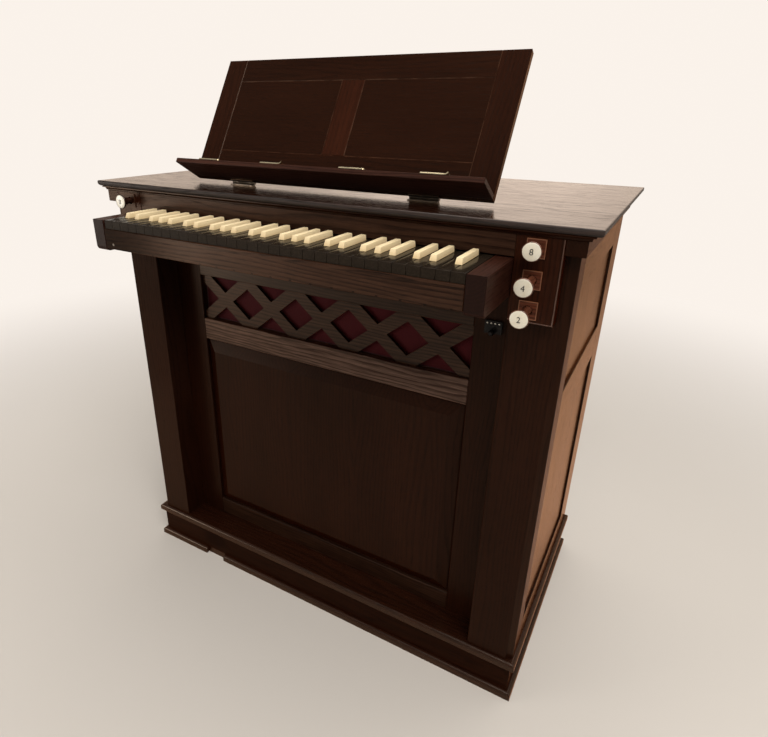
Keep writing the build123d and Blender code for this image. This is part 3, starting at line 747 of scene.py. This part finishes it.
class ORGAN_OT_stops(bpy.types.Operator):
    """Turned stop knobs with a domed white face and a plain figure"""
    bl_idname = "organ.stops"
    bl_label = "Stop knobs"

    def execute(self, context):
        stops = context.scene.organ_stops
        # The turned wood is pale partly in its own colour and partly as a painted highlight on the shafts; the patch
        # gives the left stop painted shade.
        wood = dark_oak("oak_turned", "Y", late=(0.17, 0.066, 0.040), rough=0.13,
                        seed=19.6, gloss=1.55, amber=(1.0, 0.93, 0.87), patch=left_stop_shade)
        white, ink = disc_finish(), ink_finish()
        for body, figure in STOPS:
            low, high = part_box(f"{body}_face")
            middle = (low + high) / 2
            centre = (middle.x, high.y, middle.z)
            self.face(body, centre, (high.x - low.x) / 2 - stops.rim, high.y - low.y, stops.dome, white)
            self.head(body, centre, (high.x - low.x) / 2, wood)
            self.figure(body, figure, (middle.x, low.y, middle.z), stops, ink)
        return {"FINISHED"}

    def face(self, body, centre, radius, thick, dome, finish):
        """Rim up to a rounded edge, then a shallow dome: height falls with the square of the radius."""
        sine, cosine = quarter(6)
        edge, bevel = 2.0 * MM, 0.4 * MM
        rim = thick - dome
        inner = np.array((0.8, 0.5, 0.0)) * radius
        rise = dome * (1.0 - np.clip(inner / (radius - edge), 0.0, 1.0) ** 2)
        r = np.concatenate(((0.0, radius - bevel, radius), radius - edge * (1.0 - cosine), inner))
        h = np.concatenate(((0.0, 0.0, bevel), rim - edge * (1.0 - sine), rim + rise))
        disc = piece(f"{body}_disc", [turned(np.stack((r, h), axis=1), centre, (0, -1, 0), 48)], body,
                     finish, sharp=50.0)
        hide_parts(f"{body}_face")

    def head(self, body, centre, radius, finish):
        """A round-edged rim that holds the disc, a hollow cone to the neck and a plain shaft, as one profile: the
        rim's edge runs by the cosine and sine of half a turn, the cone's radius falls by a square."""
        low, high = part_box(f"{body}_shaft")
        reach = high.y - low.y
        shaft, neck = 7.0 * MM, 8.2 * MM
        round_r, lip, land, sag, cone_l, bevel = 1.6 * MM, 2.6 * MM, 1.0 * MM, 1.0 * MM, 8.4 * MM, 0.8 * MM
        seat = radius - round_r - land
        bead = np.linspace(math.pi / 2, -math.pi / 2, 9)
        r = [0.0, seat, seat]
        h = [0.0, 0.0, lip]
        r += list(radius - round_r + round_r * np.cos(bead))
        h += list(lip - round_r + round_r * np.sin(bead) + sag * np.minimum(np.sin(bead), 0.0))
        t = np.linspace(0.0, 1.0, 7)[1:]
        r += list(neck + (radius - round_r - neck) * (1.0 - t) ** 2)
        h += list(h[-1] - cone_l * t)
        r += [neck, shaft + 0.3 * MM, shaft, shaft, shaft - bevel, 0.0]
        h += [-12.0 * MM, -12.4 * MM, -12.6 * MM, -reach + bevel, -reach, -reach]
        profile = np.stack((np.array(r), np.array(h)), axis=1)
        knob = piece(f"{body}_turning", [turned(profile, centre, (0, -1, 0), 40)], body, finish)
        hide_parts(f"{body}_shaft")

    def figure(self, body, text, at, stops, finish):
        """A figure cut as a thin sheet, standing a hair in front of the face."""
        curve = bpy.data.curves.new(f"{body}_figure", "FONT")
        curve.body = text
        curve.align_x = "CENTER"
        curve.align_y = "CENTER"
        em, half_t = 1.35, 0.25 * MM        # font size for a figure of height 1, and half of its thickness
        curve.size = stops.figure * em
        curve.extrude = half_t
        curve.resolution_u = 5
        source = bpy.data.objects.new(f"{body}_figure_curve", curve)
        mesh = bpy.data.meshes.new_from_object(source)
        bpy.data.objects.remove(source)
        bpy.data.curves.remove(curve)
        mesh.name = f"{body}_figure"
        points = np.array([v.co for v in mesh.vertices])
        offset = Vector((points.max(axis=0) + points.min(axis=0)) / 2)
        upright = Matrix.Rotation(math.pi / 2, 4, "X")
        mesh.transform(Matrix.Translation(at) @ upright @ Matrix.Translation(-offset))
        added(mesh, body, finish)


class ORGAN_OT_cloth(bpy.types.Operator):
    """Red cloth stretched behind the lattice"""
    bl_idname = "organ.cloth"
    bl_label = "Grille cloth"

    def execute(self, context):
        """A level sheet whose depth is a sum of slow sine waves, nil along the edges."""
        cloth = context.scene.organ_cloth
        low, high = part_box("grille_cloth")
        columns, rows = 141, 25
        u, v = np.meshgrid(np.linspace(0, 1, columns), np.linspace(0, 1, rows))
        hold = np.sin(math.pi * u) ** 0.5 * np.sin(math.pi * v) ** 0.5
        wave = np.sin(9.0 * u * math.pi + 2.0 * v) + 0.6 * np.sin(23.0 * u + 7.0 * v + 1.0)
        inset, depth = 0.5 * MM, 1.5 * MM
        x = low.x + inset + (high.x - low.x - 2 * inset) * u
        z = low.z + inset + (high.z - low.z - 2 * inset) * v
        y = low.y + depth + cloth.slack * wave * hold * 0.6
        mesh = bpy.data.meshes.new("cloth_sheet")
        points = np.stack((x, y, z), axis=-1).reshape(-1, 3)
        mesh.from_pydata(points.tolist(), [], ring_quads(rows, columns, False).tolist())
        smooth(mesh)
        sheet = added(mesh, "case", cloth_finish())
        wall = sheet.modifiers.new("thickness", "SOLIDIFY")
        wall.thickness = cloth.thick
        wall.offset = 0.0
        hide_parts("grille_cloth")
        return {"FINISHED"}


class ORGAN_OT_clips(bpy.types.Operator):
    """Brass page clips on the desk's ledge, two of them with a curled end"""
    bl_idname = "organ.clips"
    bl_label = "Page clips"

    def execute(self, context):
        metal = context.scene.organ_metal
        finish = metal_finish("brass", tuple(metal.brass), 1.0, 0.24, (0.36, 0.25, 0.12), 0.45)
        wide, thick, clip_l = 12.0 * MM, 2.6 * MM, 56.0 * MM
        shells = [self.strip(x, clip_l, wide, thick, curled) for x, curled in CLIPS]
        clips = piece("page_clips", shells, "desk", finish, sharp=40.0, place=DESK_PLACE)
        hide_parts("desk_clips")
        return {"FINISHED"}

    def strip(self, x, clip_l, wide, thick, curled):
        """A flat strip along X; at a curled end the middle line turns up on an arc. The width narrows to
        rounded ends by the root of a quadratic."""
        run = np.concatenate((np.linspace(0.0, 0.06, 6), np.linspace(0.1, 0.9, 9), np.linspace(0.94, 1.0, 6)))
        s = run * clip_l
        ledge_front, ledge_top = -80.0 * MM, 10.0 * MM      # from the desk's hinge pins
        start = clip_l * 0.84
        bow = 6.5 * MM
        turn = np.where(curled, np.clip((s - start) / bow, 0.0, None), 0.0)
        line_x = np.where(turn > 0, start + bow * np.sin(turn), s) + x - clip_l / 2
        line_z = bow * (1.0 - np.cos(turn)) + ledge_top
        end = np.minimum(s, clip_l - s) / (wide * 0.22)
        half = wide / 2 * np.sqrt(np.clip(1.0 - (1.0 - np.clip(end, 0.0, 1.0)) ** 2, 0.18, 1.0))
        half = np.where(curled & (s > start), wide / 2, half)
        section = np.array(((-1.0, 0.0), (-1.0, 0.7), (-0.9, 1.0), (0.9, 1.0), (1.0, 0.7), (1.0, 0.0)))
        tilt_x, tilt_z = -np.sin(turn), np.cos(turn)
        middle = ledge_front + wide / 2
        ys = middle + half[:, None] * section[None, :, 0]
        xs = line_x[:, None] + thick * section[None, :, 1] * tilt_x[:, None]
        zs = line_z[:, None] + thick * section[None, :, 1] * tilt_z[:, None]
        grid = capped(np.stack((xs, ys, zs), axis=-1))
        return grid.reshape(-1, 3), ring_quads(len(grid), len(section), True)


class ORGAN_OT_fittings(bpy.types.Operator):
    """Hinges, catch with its studs, slip button and the beads on the stop jambs"""
    bl_idname = "organ.fittings"
    bl_label = "Small fittings"

    def execute(self, context):
        metal = context.scene.organ_metal
        bronze = metal_finish("bronze", tuple(metal.bronze), 1.0, 0.34, (0.07, 0.055, 0.045), 0.6)
        black = metal_finish("black_metal", tuple(metal.black), 0.0, 0.24, (0.016, 0.012, 0.010), 0.5, 1.22)
        nickel = metal_finish("stud_metal", (0.46, 0.43, 0.37), 1.0, 0.3, (0.22, 0.19, 0.15), 0.4)
        old_brass = metal_finish("button_metal", (0.11, 0.09, 0.07), 1.0, 0.5, (0.06, 0.05, 0.04), 0.6)
        dress(bronze, "hinges_lid", "hinges_desk")
        dress(black, "catch")
        self.studs(nickel)
        self.button(old_brass)
        self.beads()
        return {"FINISHED"}

    def dome(self, centre, radius, rise, sides):
        """Low dome facing the player: radius by the cosine and rise by the sine of a quarter turn."""
        sine, cosine = quarter(5)
        root = 0.5 * MM
        r = np.concatenate(((0.0, radius), radius * cosine))
        h = np.concatenate(((-root, -root), rise * sine))
        return turned(np.stack((r, h), axis=1), centre, (0, -1, 0), sides)

    def studs(self, finish):
        low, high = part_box("catch")
        plate_t, margin, drop, radius, rise = 6.0 * MM, 5.0 * MM, 4.5 * MM, 1.9 * MM, 1.0 * MM
        face = high.y - plate_t
        places = np.linspace(low.x + margin, high.x - margin, 4)
        shells = [self.dome((x, face, high.z - drop), radius, rise, 14) for x in places]
        piece("catch_studs", shells, "case", finish)

    def button(self, finish):
        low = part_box("key_slip")[0]
        beside, above, radius, rise = 22.0 * MM, 10.0 * MM, 2.8 * MM, 0.2 * MM
        centre = (low.x + beside, low.y, low.z + above)
        piece("slip_button", [self.dome(centre, radius, rise, 18)], "case", finish)

    def beads(self):
        """Half-round strip down the outer edge and along the foot of each jamb's face."""
        low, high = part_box("stop_jambs")
        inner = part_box("name_board")[1].x
        turn = np.linspace(0.0, math.pi, 7)
        half, rise, root = 0.9 * MM, 0.8 * MM, 0.4 * MM
        margin, top_gap, end_gap = 1.8 * MM, 1.0 * MM, 1.5 * MM
        section = np.stack((half * np.cos(turn), rise * np.sin(turn)), axis=1)
        section = np.concatenate((section, ((-half, -root), (half, -root))))
        edge, foot = high.x - margin, low.z + margin
        right = [(edge, low.y, high.z - top_gap), (edge, low.y, foot), (inner + end_gap, low.y, foot)]
        left = [(-x, y, z) for x, y, z in right]
        # The bead is real; its pale wood is a painted highlight, the light line along each jamb's edge.
        finish = dark_oak("oak_beads", "Z", late=(0.115, 0.062, 0.045), rough=0.24, seed=20.3, gloss=1.4,
                          amber=CLEAR)
        piece("jamb_beads", [swept(section, right), swept(section, left)], "case", finish, sharp=45.0)


class ORGAN_OT_stage(bpy.types.Operator):
    """Pale floor and wall, soft lamps and the camera"""
    bl_idname = "organ.stage"
    bl_label = "Stage"

    def execute(self, context):
        stage = context.scene.organ_stage
        self.room(stage)
        self.sky(context.scene, stage)
        for name, at, aim, size in LAMPS:
            self.lamp(f"{name}_lamp", at, aim, size, getattr(stage, name))
        self.camera(context.scene, stage)
        context.scene.view_settings.view_transform = "Standard"
        return {"FINISHED"}

    def room(self, stage):
        """A disc of floor that sweeps up into a round wall on a quarter circle. The far floor and the wall look
        evenly pale to the camera, and the varnish mirrors a soft bright window in the wall."""
        sine, cosine = quarter(14)
        sweep, top = 1.6, 4.6
        r = np.concatenate(((0.0, 1.0, 2.2), stage.radius - sweep + sweep * sine, (stage.radius,)))
        h = np.concatenate(((0.0, 0.0, 0.0), sweep * (1.0 - cosine), (top,)))
        points, quads = turned(np.stack((r, h), axis=1), (0, 0, 0), (0, 0, 1), 96)
        mesh = bpy.data.meshes.new("room")
        mesh.from_pydata(points.tolist(), [], quads.tolist())
        smooth(mesh)
        f = Finish("room")
        pale = tuple(stage.floor)
        cloud = f.noise(f.place, 1.3, 3.0)
        f.set(Base_Color=f.mix(cloud, tuple(0.97 * c for c in pale), pale), Roughness=0.85, Specular_IOR_Level=0.1)
        x, y, z = f.split(f.place)
        far = (x * x + y * y).root()
        path = f.add("ShaderNodeLightPath").socket.node
        seen = Field(f, path.outputs["Is Camera Ray"]) * far.step(0.95, 3.3)
        glossy = Field(f, path.outputs["Is Glossy Ray"])
        window_x = -1.3
        window = 1.0 - (x - window_x).size().step(0.6, 2.2) * 0.45
        mirrored = glossy * z.step(0.4, 1.2) * y.step(0.0, 1.5) * (1.0 - z.step(2.3, 3.4)) * window
        share = seen.most(mirrored)
        pale_wall = f.mix(glossy, tuple(stage.wall), tuple(1.45 * c for c in stage.wall))
        white = f.add("ShaderNodeEmission", None, {"Color": pale_wall, "Strength": 1.0})
        lit = f.add("ShaderNodeMixShader", None, {0: share, 1: Field(f, f.shader.outputs[0]), 2: white})
        f.tree.links.new(lit.socket, f.tree.nodes["Material Output"].inputs["Surface"])
        mesh.materials.append(f.material)
        obj = bpy.data.objects.new("room", mesh)
        bpy.context.scene.collection.objects.link(obj)

    def sky(self, scene, stage):
        world = bpy.data.worlds.new("even_light")
        world.use_nodes = True
        background = world.node_tree.nodes["Background"]
        background.inputs["Color"].default_value = (1.0, 0.985, 0.97, 1.0)
        background.inputs["Strength"].default_value = stage.sky
        scene.world = world

    def lamp(self, name, at, aim, size, power):
        data = bpy.data.lights.new(name, "AREA")
        data.shape = "RECTANGLE"
        data.size, data.size_y = size
        data.energy = power
        data.color = (1.0, 0.965, 0.92)
        obj = bpy.data.objects.new(name, data)
        obj.location = at
        obj.rotation_euler = (Vector(aim) - Vector(at)).to_track_quat("-Z", "Y").to_euler()
        bpy.context.scene.collection.objects.link(obj)

    def camera(self, scene, stage):
        data = bpy.data.cameras.new("camera")
        data.sensor_fit = "HORIZONTAL"
        data.sensor_width = 36.0
        data.lens = stage.lens
        data.shift_x, data.shift_y = stage.shift
        data.clip_start = 0.02
        turn, dip, roll = stage.heading, stage.pitch, stage.roll
        ahead = Vector((-math.sin(turn) * math.cos(dip), math.cos(turn) * math.cos(dip), -math.sin(dip)))
        level = Vector((math.cos(turn), math.sin(turn), 0.0))
        right = level * math.cos(roll) + ahead.cross(level) * math.sin(roll)
        down = ahead.cross(right)
        axes = Matrix((right, -down, -ahead)).transposed()
        obj = bpy.data.objects.new("camera", data)
        obj.matrix_world = Matrix.Translation(Vector(stage.eye)) @ axes.to_4x4()
        scene.collection.objects.link(obj)
        scene.camera = obj


class ORGAN_PT_panel(bpy.types.Panel):
    """Lists the organ's pieces and their settings"""
    bl_idname = "ORGAN_PT_panel"
    bl_label = "Chest Organ"
    bl_space_type = "VIEW_3D"
    bl_region_type = "UI"
    bl_category = "Organ"

    def draw(self, context):
        for step in STEPS:
            self.layout.operator(step.bl_idname)
        for name, group in GROUPS.items():
            box = self.layout.box()
            box.label(text=group.__doc__)
            for key in group.__annotations__:
                box.prop(getattr(context.scene, name), key)


GROUPS = {"organ_wood": OrganWood, "organ_keys": OrganKeys, "organ_stops": OrganStops, "organ_cloth": OrganCloth,
          "organ_metal": OrganMetal, "organ_stage": OrganStage}
STEPS = (ORGAN_OT_oak, ORGAN_OT_naturals, ORGAN_OT_sharps, ORGAN_OT_stops, ORGAN_OT_cloth, ORGAN_OT_clips,
         ORGAN_OT_fittings, ORGAN_OT_stage)


def register():
    for cls in (*GROUPS.values(), *STEPS, ORGAN_PT_panel):
        bpy.utils.register_class(cls)
    for name, group in GROUPS.items():
        setattr(bpy.types.Scene, name, PointerProperty(type=group))


def unregister():
    for name in GROUPS:
        delattr(bpy.types.Scene, name)
    for cls in (ORGAN_PT_panel, *reversed(STEPS), *reversed(tuple(GROUPS.values()))):
        bpy.utils.unregister_class(cls)


def main():
    register()
    bpy.ops.organ.oak()
    bpy.ops.organ.naturals()
    bpy.ops.organ.sharps()
    bpy.ops.organ.stops()
    bpy.ops.organ.cloth()
    bpy.ops.organ.clips()
    bpy.ops.organ.fittings()
    bpy.ops.organ.stage()
    bpy.context.view_layer.update()


if __name__ == "__main__":
    main()
